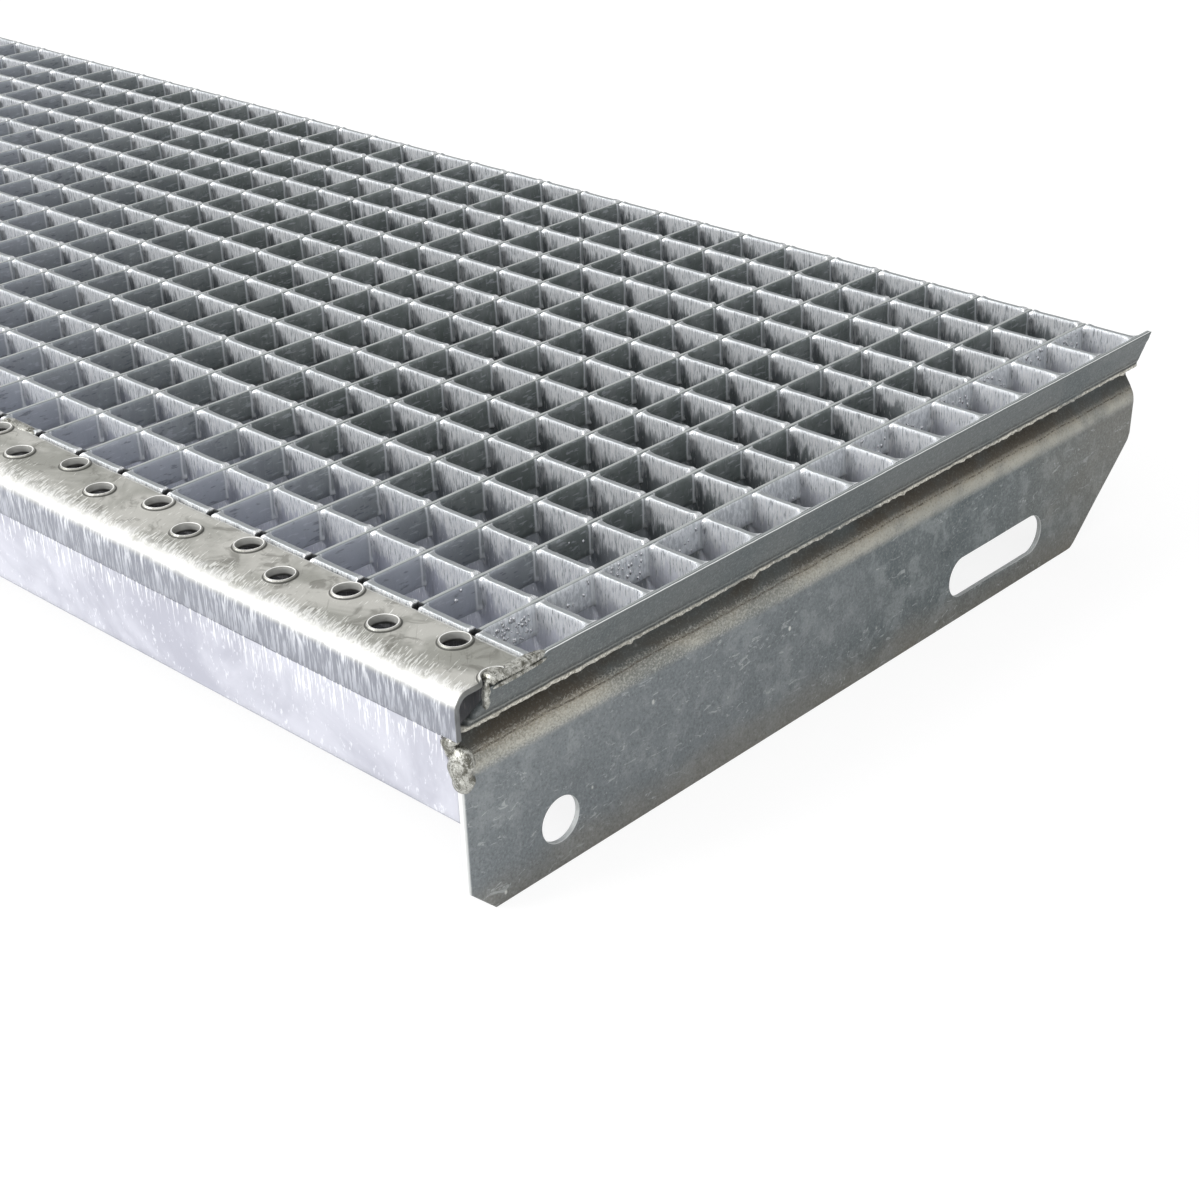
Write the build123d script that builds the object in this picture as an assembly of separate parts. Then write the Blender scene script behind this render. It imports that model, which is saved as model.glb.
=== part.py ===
from build123d import *
import math
import os

# A galvanised stair tread of press-locked grating. X runs along the tread, Y from the nosing
# to the rear, Z up. The origin is on the floor, under the middle of the tread. Sizes are in mm.

# Tread as a whole
tread_length = 800.0
tread_depth = 324.0
plate_height = 70.0

# Grating: flat bearing bars run the length, thin cross bars are pressed into their slots
mesh_pitch = 22.2
bar_thickness = 2.0
bearing_height = 40.0
cross_thickness = 1.8
cross_height = 10.0
slot_clearance = 0.05
cross_end_seat = 0.6
rear_margin_least = 1.0

# Nosing: one folded, perforated sheet in front of the first bearing bar
nosing_sheet = 2.0
nosing_width = 26.0
nosing_leg = 13.5
nosing_flange = 10.0
nose_bend = 5.0
rear_bend = 2.6
nosing_end_gap = 2.0

# Anti-slip perforation in two staggered rows, each hole with a rim pressed up round it
hole_diameter = 8.2
hole_sides = 14
hole_pitch = 42.6
rear_row_inset = 6.6
row_spacing = 5.8
first_hole_inset = 22.2
rim_width = 1.2
rim_height = 0.9

# Flat bar that closes the front under the nosing
front_bar_thickness = 2.0
front_bar_drop = 5.5

# End plate, rolled from one strip: lip, groove, shoulder and a flat that is bolted on
plate_sheet = 2.0
lip_flare = 4.5
lip_depth = 13.0
groove_inset = 8.5
groove_depth = 16.5
flat_inset = 3.5
shoulder_depth = 23.5
lip_bend = 4.0
groove_bend = 1.0
shoulder_bend = 8.0

# Side outline of the end plate
front_chamfer = 9.0
rear_lean = 3.5
rear_chamfer_length = 34.5
rear_chamfer_height = 31.0
rear_corner_radius = 6.0
corner_radius = 2.0
lip_step_behind = 3.5
lip_front_inset = 9.5
lip_front_height = 7.0
nose_relief_depth = 16.0

# Fixing holes of the end plate
bolt_hole_diameter = 14.0
bolt_hole_depth = 55.0
bolt_hole_inset = 34.0
bolt_spacing = 204.0
bolt_slot_length = 53.0

# Fit between pieces that touch, and how far a cut runs past the sheet that it opens
seat_gap = 0.2
cut_overrun = 1.0

# Welds: beads with flat sides and chamfered ends. A stitch lies in every so many cells
bead_sides = 8
bead_chamfer_share = 0.2
front_weld_length = 13.0
front_weld_width = 6.0
top_weld_length = 19.0
top_weld_width = 3.0
top_weld_rise = 0.8
stitch_cells = 16
stitch_length = 18.0
stitch_width = 4.0
stitch_rise = 0.6

# Places that follow from the sizes above
top = plate_height
half_length = tread_length / 2
front = -tread_depth / 2
rear = tread_depth / 2
first_bar_y = front + nosing_width + bar_thickness / 2
nosing_rear = first_bar_y - bar_thickness / 2
cross_count = int(tread_length / mesh_pitch) - 1
bar_room = tread_depth - nosing_width - bar_thickness - rear_margin_least
bearing_count = int(bar_room / mesh_pitch) + 1
last_bar_y = first_bar_y + (bearing_count - 1) * mesh_pitch
plate_front = front + nosing_sheet
nosing_half = half_length - nosing_end_gap


def unit_normal(start, end):
    """Direction from start to end, turned a quarter turn to the left."""
    run = math.dist(start, end)
    return ((start[1] - end[1]) / run, (end[0] - start[0]) / run)


def far_face(face, thickness):
    """Corners of a folded sheet's other face, to the left of the face that is given."""
    normals = [unit_normal(a, b) for a, b in zip(face, face[1:])]
    corners = []
    for index, (x, y) in enumerate(face):
        before = normals[max(index - 1, 0)]
        after = normals[min(index, len(normals) - 1)]
        mitre = thickness / (1 + before[0] * after[0] + before[1] * after[1])
        corners.append((x + (before[0] + after[0]) * mitre, y + (before[1] + after[1]) * mitre))
    return corners


def folded_section(face, bends, thickness):
    """Section of a folded sheet. The bends are radii at the inner corners of the given face."""
    other = far_face(face, thickness)
    other_bends = []
    for index, radius in enumerate(bends):
        before = unit_normal(face[index], face[index + 1])
        after = unit_normal(face[index + 1], face[index + 2])
        turns_left = before[0] * after[1] - before[1] * after[0] > 0
        other_bends.append(radius - thickness if turns_left else radius + thickness)
    radii = [0, *bends, 0, 0, *reversed(other_bends), 0]
    return make_face(FilletPolyline(*face, *reversed(other), radius=radii, close=True))


def at_height(start, end, height):
    """First coordinate of the point at a height on the line through two points."""
    share = (height - start[1]) / (end[1] - start[1])
    return start[0] + share * (end[0] - start[0])


# The rolled strip seen along Y: its outer face from the floor up to the lip. The lip's line
# runs on past the top by the sheet's thickness, and the strip is trimmed level there.
flat_face = half_length - flat_inset
outer_face = [
    (flat_face, 0),
    (flat_face, top - shoulder_depth),
    (half_length - groove_inset, top - groove_depth),
    (half_length - lip_flare, top - lip_depth),
    (half_length + lip_flare / lip_depth * plate_sheet, top + plate_sheet),
]
plate_section = folded_section(outer_face, [shoulder_bend, groove_bend, lip_bend], plate_sheet)
inner_face = far_face(outer_face, plate_sheet)
crest_x = plate_section.bounding_box().min.X
lip_inner_x = at_height(inner_face[3], inner_face[4], top)


def plate_outline():
    """Side outline of the end plate, seen along X, with its lip lowered under the nosing."""
    step = first_bar_y + lip_step_behind
    lowered = top - nosing_sheet - seat_gap
    lip_front = plate_front + lip_front_inset
    rear_corner = rear - rear_lean
    points = [
        (plate_front + front_chamfer, 0),
        (rear_corner - rear_chamfer_length, 0),
        (rear_corner, rear_chamfer_height),
        (rear, top),
        (step, top),
        (step - nosing_sheet, lowered),
        (lip_front, lowered),
        (lip_front, top - lip_front_height),
        (plate_front, top - nose_relief_depth),
        (plate_front, front_chamfer),
    ]
    radii = [0, rear_corner_radius, corner_radius, 0, 0, 0, corner_radius, corner_radius, 0, 0]
    return make_face(FilletPolyline(*points, radius=radii, close=True))


def end_plate():
    """Right-hand end plate: the rolled strip, cut to its outline, with a hole and a slot."""
    strip = extrude(Plane.XZ * plate_section, amount=tread_depth, both=True)
    blank = extrude(Plane.YZ * plate_outline(), amount=tread_length)
    hole_y = plate_front + bolt_hole_inset
    hole_z = top - bolt_hole_depth
    openings = Plane.YZ * Pos(hole_y, hole_z) * Circle(bolt_hole_diameter / 2)
    slot_place = Plane.YZ * Pos(hole_y + bolt_spacing, hole_z)
    openings += slot_place * SlotOverall(bolt_slot_length, bolt_hole_diameter)
    return (strip & blank) - extrude(openings, amount=tread_length)


def bearing_bar():
    """One bearing bar at Y = 0: coped to the rolled ends and slotted for every cross bar."""
    bar_end = crest_x - seat_gap
    cope_start = top - groove_depth + plate_sheet
    right = [
        (bar_end, top - bearing_height),
        (bar_end, cope_start),
        (lip_inner_x - seat_gap, top),
    ]
    left = [(-x, z) for x, z in reversed(right)]
    blank = make_face(Polyline(*right, *left, close=True))
    slots = Sketch()
    slot_width = cross_thickness + 2 * slot_clearance
    for x in cross_bar_places():
        slots += Pos(x, top) * Rectangle(slot_width, 2 * cross_height)
    return extrude(Plane.XZ * (blank - slots), amount=bar_thickness / 2, both=True)


def cross_bar_places():
    """X of every cross bar, spread evenly from the middle."""
    return [(index - (cross_count - 1) / 2) * mesh_pitch for index in range(cross_count)]


def cross_bar():
    """One cross bar at X = 0. It starts inside the first bar's slot and ends flush behind."""
    start = first_bar_y + bar_thickness / 2 - cross_end_seat
    end = last_bar_y + bar_thickness / 2
    place = Pos(0, (start + end) / 2, top - cross_height / 2)
    return place * Box(cross_thickness, end - start, cross_height)


def hole_places():
    """Middle of every hole of the perforation, in two staggered rows, from the right end."""
    rear_row = nosing_rear - rear_row_inset
    count = int(tread_length / hole_pitch) + 1
    places = []
    for index in range(count):
        x = half_length - first_hole_inset - index * hole_pitch
        places.append((x, rear_row))
        places.append((x + hole_pitch / 2, rear_row - row_spacing))
    return [(x, y) for x, y in places if abs(x) < nosing_half + hole_diameter / 2]


def nosing():
    """Perforated nosing, folded from one sheet and cut to length through its pattern."""
    face = [
        (nosing_rear, top - nosing_flange),
        (nosing_rear, top),
        (front, top),
        (front, top - nosing_leg),
    ]
    section = folded_section(face, [rear_bend, nose_bend], nosing_sheet)
    sheet = extrude(Plane.YZ * section, amount=tread_length, both=True)
    hole = RegularPolygon(hole_diameter / 2, hole_sides, major_radius=False)
    rim_foot = RegularPolygon(hole_diameter / 2 + rim_width, hole_sides, major_radius=False)
    rim_slope = math.degrees(math.atan(rim_width / rim_height))
    rim = extrude(rim_foot, amount=rim_height, taper=rim_slope)
    punch = extrude(hole, amount=2 * nosing_sheet, both=True)
    places = [Pos(x, y, top) for x, y in hole_places()]
    sheet += [place * rim for place in places]
    sheet -= [place * punch for place in places]
    sheet &= Pos(0, 0, top / 2) * Box(2 * nosing_half, tread_depth, 2 * top)
    return sheet - flange_reliefs()


def flange_reliefs():
    """Room at both ends for the end plate's lip, where the nosing's rear flange stops short."""
    start = crest_x - seat_gap
    width = nosing_half - start + cut_overrun
    depth = nosing_sheet + rear_bend + cut_overrun
    height = nosing_flange - nosing_sheet + cut_overrun
    y = nosing_rear + cut_overrun - depth / 2
    z = top - nosing_sheet - height / 2
    relief = Box(width, depth, height)
    return [Pos(side * (start + width / 2), y, z) * relief for side in (-1, 1)]


def front_bar():
    """Flat bar behind the nosing's leg, coped round the rolled groove at both ends."""
    flat_end = flat_face - plate_sheet - seat_gap
    groove_end = crest_x - seat_gap
    right = [
        (flat_end, top - bearing_height),
        (flat_end, top - shoulder_depth - shoulder_bend / 2),
        (groove_end, top - groove_depth - plate_sheet),
        (groove_end, top - front_bar_drop),
    ]
    left = [(-x, z) for x, z in reversed(right)]
    blank = Plane.XZ * make_face(Polyline(*right, *left, close=True))
    bar = extrude(blank, amount=front_bar_thickness / 2, both=True)
    return Pos(0, plate_front + front_bar_thickness / 2, 0) * bar


def weld_bead(length, width):
    """A bead of weld along Z with flat sides, chamfered round both ends."""
    bead = extrude(RegularPolygon(width / 2, bead_sides), amount=length / 2, both=True)
    ends = bead.edges().group_by(Axis.Z)
    return chamfer(ends[0] + ends[-1], bead_chamfer_share * width)


def front_bead():
    """Bead in front of the right-hand joint of end plate and front bar, under the nosing."""
    x = flat_face - front_weld_width / 2
    y = front + front_weld_width / 2
    z = top - nose_relief_depth - front_weld_length / 2
    bead = Pos(x, y, z) * weld_bead(front_weld_length, front_weld_width)
    return split(bead, Plane.XZ.offset(-plate_front), keep=Keep.TOP)


def top_bead():
    """Whole bead on the right-hand lowered lip, along the cut end of the nosing."""
    x = half_length - top_weld_width / 2
    y = first_bar_y + lip_step_behind - top_weld_length / 2
    z = top + top_weld_rise - top_weld_width / 2
    return Pos(x, y, z) * Rot(90, 0, 0) * weld_bead(top_weld_length, top_weld_width)


def stitch_welds(around):
    """Short beads in the seam between the nosing and the first bearing bar, mid-cell."""
    z = top + stitch_rise - stitch_width / 2
    bead = Rot(0, 90, 0) * weld_bead(stitch_length, stitch_width)
    bars = cross_bar_places()[stitch_cells // 2 : -1 : stitch_cells]
    beads = [Pos(x + mesh_pitch / 2, nosing_rear, z) * bead for x in bars]
    return Compound(children=[clear_of(one, around) for one in beads])


def clear_of(bead, around):
    """What is left of a bead outside the pieces that it joins, its largest solid."""
    for piece in around:
        bead = bead - piece
    return max(bead.solids(), key=lambda solid: solid.volume)


def mirrored(piece):
    """The same piece for the other end of the tread."""
    return mirror(piece, about=Plane.YZ)


def build():
    """Every piece of the tread by its node name."""
    plate = end_plate()
    pieces = {"end_plate_right": plate, "end_plate_left": mirrored(plate)}
    pieces["nosing"] = nosing()
    pieces["front_bar"] = front_bar()
    slotted_bar = bearing_bar()
    for index in range(bearing_count):
        place = Pos(0, first_bar_y + index * mesh_pitch, 0)
        pieces[f"bearing_bar_{index + 1:02d}"] = place * slotted_bar
    plain_bar = cross_bar()
    for index, x in enumerate(cross_bar_places()):
        pieces[f"cross_bar_{index + 1:02d}"] = Pos(x, 0, 0) * plain_bar
    seam = [pieces["nosing"], pieces["bearing_bar_01"]]
    front_weld, top_weld = front_bead(), top_bead()
    for side, front_blank, top_blank in (
        ("right", front_weld, top_weld),
        ("left", mirrored(front_weld), mirrored(top_weld)),
    ):
        pieces[f"front_weld_{side}"] = front_blank
        pieces[f"top_weld_{side}"] = clear_of(top_blank, [pieces[f"end_plate_{side}"], *seam])
    pieces["nosing_stitch_welds"] = stitch_welds(seam)
    return pieces


os.makedirs("parts", exist_ok=True)
for name, piece in build().items():
    piece.label = name
    export_step(piece, f"parts/{name}.step")
    print(name)
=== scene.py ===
import bpy
import numpy as np
from mathutils import Matrix, Vector


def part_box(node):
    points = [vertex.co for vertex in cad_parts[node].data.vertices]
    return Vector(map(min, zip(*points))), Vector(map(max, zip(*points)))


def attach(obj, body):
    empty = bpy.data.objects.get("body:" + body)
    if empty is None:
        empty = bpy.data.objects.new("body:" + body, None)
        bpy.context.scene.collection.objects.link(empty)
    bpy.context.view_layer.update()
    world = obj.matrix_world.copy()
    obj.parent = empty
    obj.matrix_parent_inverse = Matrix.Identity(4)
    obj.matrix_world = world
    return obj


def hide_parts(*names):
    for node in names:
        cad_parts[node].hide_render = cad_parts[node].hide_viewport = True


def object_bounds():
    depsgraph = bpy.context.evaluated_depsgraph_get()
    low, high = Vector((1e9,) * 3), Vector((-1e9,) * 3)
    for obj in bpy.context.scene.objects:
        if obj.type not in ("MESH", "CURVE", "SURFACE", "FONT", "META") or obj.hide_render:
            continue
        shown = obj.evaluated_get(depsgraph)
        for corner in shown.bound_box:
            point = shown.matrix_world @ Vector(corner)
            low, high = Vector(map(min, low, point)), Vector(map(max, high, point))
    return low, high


# Galvanised stair tread. X along the tread, Y from the nosing to the rear, Z up. The frame is
# in metres, and sizes are worked out in millimetres

mm = 0.001

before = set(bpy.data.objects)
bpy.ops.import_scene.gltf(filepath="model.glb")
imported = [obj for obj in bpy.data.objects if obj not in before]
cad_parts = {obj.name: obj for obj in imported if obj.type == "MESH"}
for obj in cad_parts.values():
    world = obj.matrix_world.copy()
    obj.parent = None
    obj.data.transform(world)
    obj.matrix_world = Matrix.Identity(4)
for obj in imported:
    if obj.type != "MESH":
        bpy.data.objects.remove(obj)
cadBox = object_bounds()
treadLow, treadHigh = cadBox
print("frame loaded,", len(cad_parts), "nodes")


# shader maths: a Wire is one output socket, and + - * / ** on it add Math nodes
class Wire:
    def __init__(self, finish, socket):
        self.finish = finish
        self.socket = socket

    def math(self, operation, first, second):
        return self.finish.node("Math", {"operation": operation}, {0: first, 1: second})

    def __add__(self, other):
        return self.math("ADD", self, other)

    def __sub__(self, other):
        return self.math("SUBTRACT", self, other)

    def __rsub__(self, other):
        return self.math("SUBTRACT", other, self)

    def __mul__(self, other):
        return self.math("MULTIPLY", self, other)

    def __truediv__(self, other):
        return self.math("DIVIDE", self, other)

    def __rtruediv__(self, other):
        return self.math("DIVIDE", other, self)

    def __pow__(self, other):
        return self.math("POWER", self, other)

    __radd__ = __add__
    __rmul__ = __mul__


# the nodes of a material or of the sky: node() is the one way in which nodes are added.
# Places, heights and widths are in millimetres, and scales of noise are per metre
class Finish:
    def __init__(self, owner, palette=None):
        owner.use_nodes = True
        self.owner = owner
        self.palette = palette
        self.tone = None
        self.nodes = owner.node_tree.nodes
        self.links = owner.node_tree.links
        self.nodes.clear()

    def node(self, kind, settings=None, inputs=None, output=0):
        # the settings come first, then the values or links of the inputs
        made = self.nodes.new("ShaderNode" + kind)
        for key, value in (settings or {}).items():
            if key == "stops":
                self.setStops(made.color_ramp.elements, value)
            else:
                setattr(made, key, value)
        for key, value in (inputs or {}).items():
            self.feed(made.inputs[key], value)
        return Wire(self, made.outputs[output]) if made.outputs else None

    def setStops(self, elements, bands):
        # the colours of a ramp, each with its place
        elements[0].position, elements[1].position = bands[0][0], bands[-1][0]
        for place, _ in bands[1:-1]:
            elements.new(place)
        for element, (_, colour) in zip(elements, bands):
            element.color = srgb(*colour)

    def feed(self, socket, value):
        if isinstance(value, Wire):
            self.links.new(value.socket, socket)
        else:
            socket.default_value = value

    def place(self, scale=(1, 1, 1), offset=(0, 0, 0)):
        # object coordinates, stretched so that a pattern runs along one axis
        where = self.node("TexCoord", output="Object")
        return self.node("Mapping", None, {"Vector": where, "Location": offset, "Scale": scale})

    def axes(self):
        where = self.node("TexCoord", output="Object")
        split = self.node("SeparateXYZ", None, {0: where})
        return [Wire(self, output) / mm for output in split.socket.node.outputs]

    def slanted(self, angle, stretch):
        # object coordinates turned about Z, and squeezed along the new first axis
        x, y, z = self.axes()
        cos, sin = float(np.cos(angle)) * mm, float(np.sin(angle)) * mm
        along, across = (x * cos + y * sin) * stretch, y * cos - x * sin
        return self.node("CombineXYZ", None, {0: along, 1: across, 2: z * mm})

    def noise(self, vector, scale, detail=2.0, roughness=0.5, distortion=0.0):
        return self.node("TexNoise", None, {"Vector": vector, "Scale": scale, "Detail": detail,
                                            "Roughness": roughness, "Distortion": distortion})

    def dots(self, vector, scale):
        # distance to the nearest of many scattered places
        return self.node("TexVoronoi", {"feature": "F1"}, {"Vector": vector, "Scale": scale})

    def absolute(self, value):
        return self.node("Math", {"operation": "ABSOLUTE"}, {0: value})

    def larger(self, first, second):
        return self.node("Math", {"operation": "MAXIMUM"}, {0: first, 1: second})

    def smaller(self, first, second):
        return self.node("Math", {"operation": "MINIMUM"}, {0: first, 1: second})

    def spread(self, value, low, high):
        # 0 at low and 1 at high, smoothly between and held beyond
        return self.node("MapRange", {"interpolation_type": "SMOOTHSTEP"},
                         {"Value": value, "From Min": low, "From Max": high})

    def line(self, value, low, high, toLow=0.0, toHigh=1.0):
        # low..high becomes toLow..toHigh along a straight line
        return self.node("MapRange", None, {"Value": value, "From Min": low, "From Max": high,
                                            "To Min": toLow, "To Max": toHigh})

    def band(self, value, middle, half, soft):
        # 1 within half of the middle, falling to 0 over a soft border outside that
        return self.spread(self.absolute(value - middle), half + soft, half)

    def fromNearest(self, value, first, gap):
        # distance to the nearest of many evenly spaced places
        offset = (value - first) / gap
        nearest = self.node("Math", {"operation": "ROUND"}, {0: offset})
        return self.absolute((offset - nearest) * gap)

    def blend(self, factor, first, second):
        return self.node("Mix", {"data_type": "RGBA"}, {0: factor, 6: first, 7: second}, output=2)

    def mixed(self, factor, first, second):
        # two colours of the palette, by a factor
        return self.blend(factor, srgb(*self.palette[first]), srgb(*self.palette[second]))

    def tint(self, factor, name):
        # more of one colour of the palette
        self.tone = self.blend(factor, self.tone, srgb(*self.palette[name]))

    def close(self, roughness, metallic, height=None, bumpDepth=0.0):
        inputs = {"Base Color": self.tone, "Roughness": roughness, "Metallic": metallic}
        if height is not None:
            inputs["Normal"] = self.node("Bump", None, {"Height": height, "Distance": bumpDepth * mm,
                                                        "Strength": 1.0})
        self.node("OutputMaterial", None, {0: self.node("BsdfPrincipled", None, inputs)})
        return self.owner


def newFinish(name, palette=None):
    return Finish(bpy.data.materials.new(name), palette)


def srgb(red, green, blue):
    # a colour given as 0..255 on screen, as linear light
    levels = np.array([red, green, blue]) / 255
    linear = np.where(levels < 0.04045, levels / 12.92, ((levels + 0.055) / 1.055) ** 2.4)
    return (*[float(level) for level in linear], 1.0)


# sizes that follow from the solids, in millimetres
def boxOf(node):
    low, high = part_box(node)
    return np.array(low) / mm, np.array(high) / mm


barLow, barHigh = boxOf("bearing_bar_01")
crossLow, crossHigh = boxOf("cross_bar_01")
plateLow, plateHigh = boxOf("end_plate_right")
barNames = sorted(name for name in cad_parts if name.startswith("bearing_bar"))
crossNames = sorted(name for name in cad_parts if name.startswith("cross_bar"))
pitch = boxOf("cross_bar_02")[0][0] - crossLow[0]
crossHalf = (crossHigh[0] - crossLow[0]) / 2
barHalf = (barHigh[1] - barLow[1]) / 2
barTop, barFloor = barHigh[2], barLow[2]
crossings = (np.arange(len(crossNames)) - (len(crossNames) - 1) / 2) * pitch
barPlaces = barLow[1] + barHalf + np.arange(len(barNames)) * pitch
plateTop = float(plateHigh[2])              # the rims of the holes stand above it
plateFront, treadFront = plateLow[1], treadLow.y / mm
nosingHalf = boxOf("nosing")[1][0]


# nosing: one folded sheet, perforated in two staggered rows, each hole with a raised rim
nosing = {
    "sheet": 2.0,
    "noseBend": 5.0,
    "rearBend": 2.6,
    "legBottom": 56.5,
    "flangeBottom": 60.0,
    "flangeEnd": 389.6,
    "holeRadius": 3.85,
    "holePitch": 42.6,
    "rearRow": (377.8, -142.6),
    "frontRow": (399.1, -148.4),
    "blockReach": 6.1,
    # the skin's height at distances from a hole's middle
    "crater": ((3.85, 0.5), (3.95, 0.72), (4.15, 0.85), (4.4, 0.8), (4.65, 0.4), (5.0, 0.1), (5.7, 0.0)),
    "ringGaps": (1.8, 1.15, 0.8, 0.55, 0.3, 0.1, 0.0),    # from a hole's edge to the rings of cells
    "rounding": 0.14,                                     # of the sheet's edges, as a share of it
}


# finishes. Numbers from 0 to 1 in them are the levels of noise between which a mark sets in, and
# the strength of its colour
zinc = {
    "metallic": 0.6,
    "litTowards": (360.0, 0.0),      # X at which the painted light begins, and is strongest
    "litBehind": 1.6,                # what a step to the rear counts, against one to the right
    "litRows": (62.0, 8.0),          # the same, counted from the first bar
    "lightRows": (95.0, 12.0),        # the same for the rows whose depths get painted light
}


def lightFallsIn(f, x, y, clouds):
    # 1 towards the left and in the front rows of cells: painted light, paler and bluer, where light
    # falls into the cells
    behind = y - barLow[1]
    left = f.spread(x + behind * zinc["litBehind"] + (clouds - 0.5) * 120, *zinc["litTowards"])
    return f.larger(left, f.spread(behind, *zinc["litRows"]) * 0.75)


def lastCell(f, x, y):
    # 1 in the cells beside the right-hand end plate, where light comes in past the plate
    beside = f.spread(x, crossings[-1] - 1.5, crossings[-1] + 1.0)
    return beside * f.spread(y, barPlaces[-1], barPlaces[-1] - 0.5)


barColours = {
    "deep": (116, 122, 124), "litDeepLeft": (148, 150, 162), "litDeepFront": (194, 197, 210),
    "litBesidePlate": (222, 224, 233), "cloud": (158, 161, 166), "litUpper": (220, 223, 227),
    "stroke": (250, 251, 253), "gap": (104, 109, 114), "shade": (80, 85, 88),
    "crown": (186, 190, 192), "valley": (150, 154, 156), "knob": (244, 246, 248),
    "notch": (40, 42, 44), "underNosingShade": (44, 44, 42),
}


def barFinish():
    # dull below in painted shade, paler towards the top in painted light, with dense upright strokes of
    # bright zinc with ragged ends there
    f = newFinish("zincBar", barColours)
    x, y, z = f.axes()
    strokes = f.noise(f.place((1, 1, 0.12)), 2100, 3.0, 0.65)
    tufts = f.noise(f.place((1, 1, 0.2)), 400, 2.0, 0.6)
    broad = f.noise(f.place((1, 1, 0.5)), 110, 2.0)
    clouds = f.noise(f.place(), 45, 3.0, 0.55)
    # painted light on the upper part of each face, where light reaches over the bar in front
    litUpper = f.spread(z + (tufts - 0.5) * 16 + (broad - 0.5) * 10, 61.0, 65.5)
    inFront = f.spread(y - barLow[1], *zinc["lightRows"])
    atPlate = lastCell(f, x, y)
    # painted light: the depths are paler towards the left and in the front rows, where light falls into
    # the cells
    f.tone = f.mixed(lightFallsIn(f, x, y, clouds), "deep", "litDeepLeft")
    f.tint(inFront * 0.85, "litDeepFront")
    # painted light in the cells beside the end plate, where light comes in past it
    f.tint(atPlate * 0.9, "litBesidePlate")
    f.tint(f.spread(clouds, 0.35, 0.65) * 0.4, "cloud")
    f.tint(litUpper * 0.85, "litUpper")
    streak = f.spread(strokes + (litUpper - 1) * 0.12, 0.46, 0.57)
    f.tint(streak * 0.8, "stroke")
    f.tint(f.spread(strokes, 0.44, 0.36) * (0.2 + litUpper * 0.5), "gap")
    # along the top: a painted shadow strip behind each cross bar, two edges in painted highlight with a
    # dimmer valley, and knobs in painted highlight
    fromCross = f.fromNearest(x, crossings[0], pitch)
    fromMiddle = f.fromNearest(y, barPlaces[0], pitch)
    under = f.spread(z, barTop - 2.2, barTop - 3.6) * f.spread(z, 55, 59)
    shade = f.band(fromCross + (tufts - 0.5) * 3.5, 1.9, 0.6, 1.8) * under
    f.tint(shade * (0.5 - atPlate * 0.35) * (1 - inFront * 0.7), "shade")
    # painted highlight on the two top edges, dimmer in the valley between them
    crown = f.spread(z, barTop - 0.5, barTop - 0.25)
    f.tint(crown * 0.9, "crown")
    f.tint(crown * f.spread(fromMiddle, 0.78, 0.55) * 0.9, "valley")
    # painted highlight on the lump before each crossing
    knob = f.spread(fromCross, 2.7, 1.8) * f.spread(z, barTop - 2.2, barTop - 0.9)
    f.tint(knob * 0.6, "knob")
    # the first bar: painted shade in a notch at each crossing, and on the side that is under the nosing
    firstBar = f.spread(y, barHigh[1] + 1.2, barHigh[1] + 0.4) * f.spread(z, 66.5, 67)
    f.tint(f.spread(fromCross, 1.5, 1.2) * firstBar * 0.95, "notch")
    underNosingShade = f.spread(y, barLow[1] + 0.1, barLow[1]) * f.spread(z, 68.5, 67)
    f.tint(underNosingShade * f.spread(f.absolute(x), 384, 380) * 0.9, "underNosingShade")
    rough = 0.5 - streak * 0.16 - knob * 0.12
    return f.close(rough, zinc["metallic"], strokes * (0.3 + litUpper * 0.7) + clouds * 0.3, 0.26)


crossColours = {
    "dark": (112, 119, 118), "light": (136, 142, 142), "left": (196, 200, 212),
    "darkMark": (92, 96, 103), "paleMark": (206, 210, 218), "litBesidePlate": (200, 204, 209),
    "litBesidePlateLight": (238, 241, 245), "grain": (200, 204, 208), "filletHighlight": (172, 176, 180),
    "line": (226, 229, 232), "foot": (226, 229, 231), "under": (164, 168, 170),
    "crown": (112, 118, 118), "crest": (182, 186, 185), "notch": (40, 42, 44),
}


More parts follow.
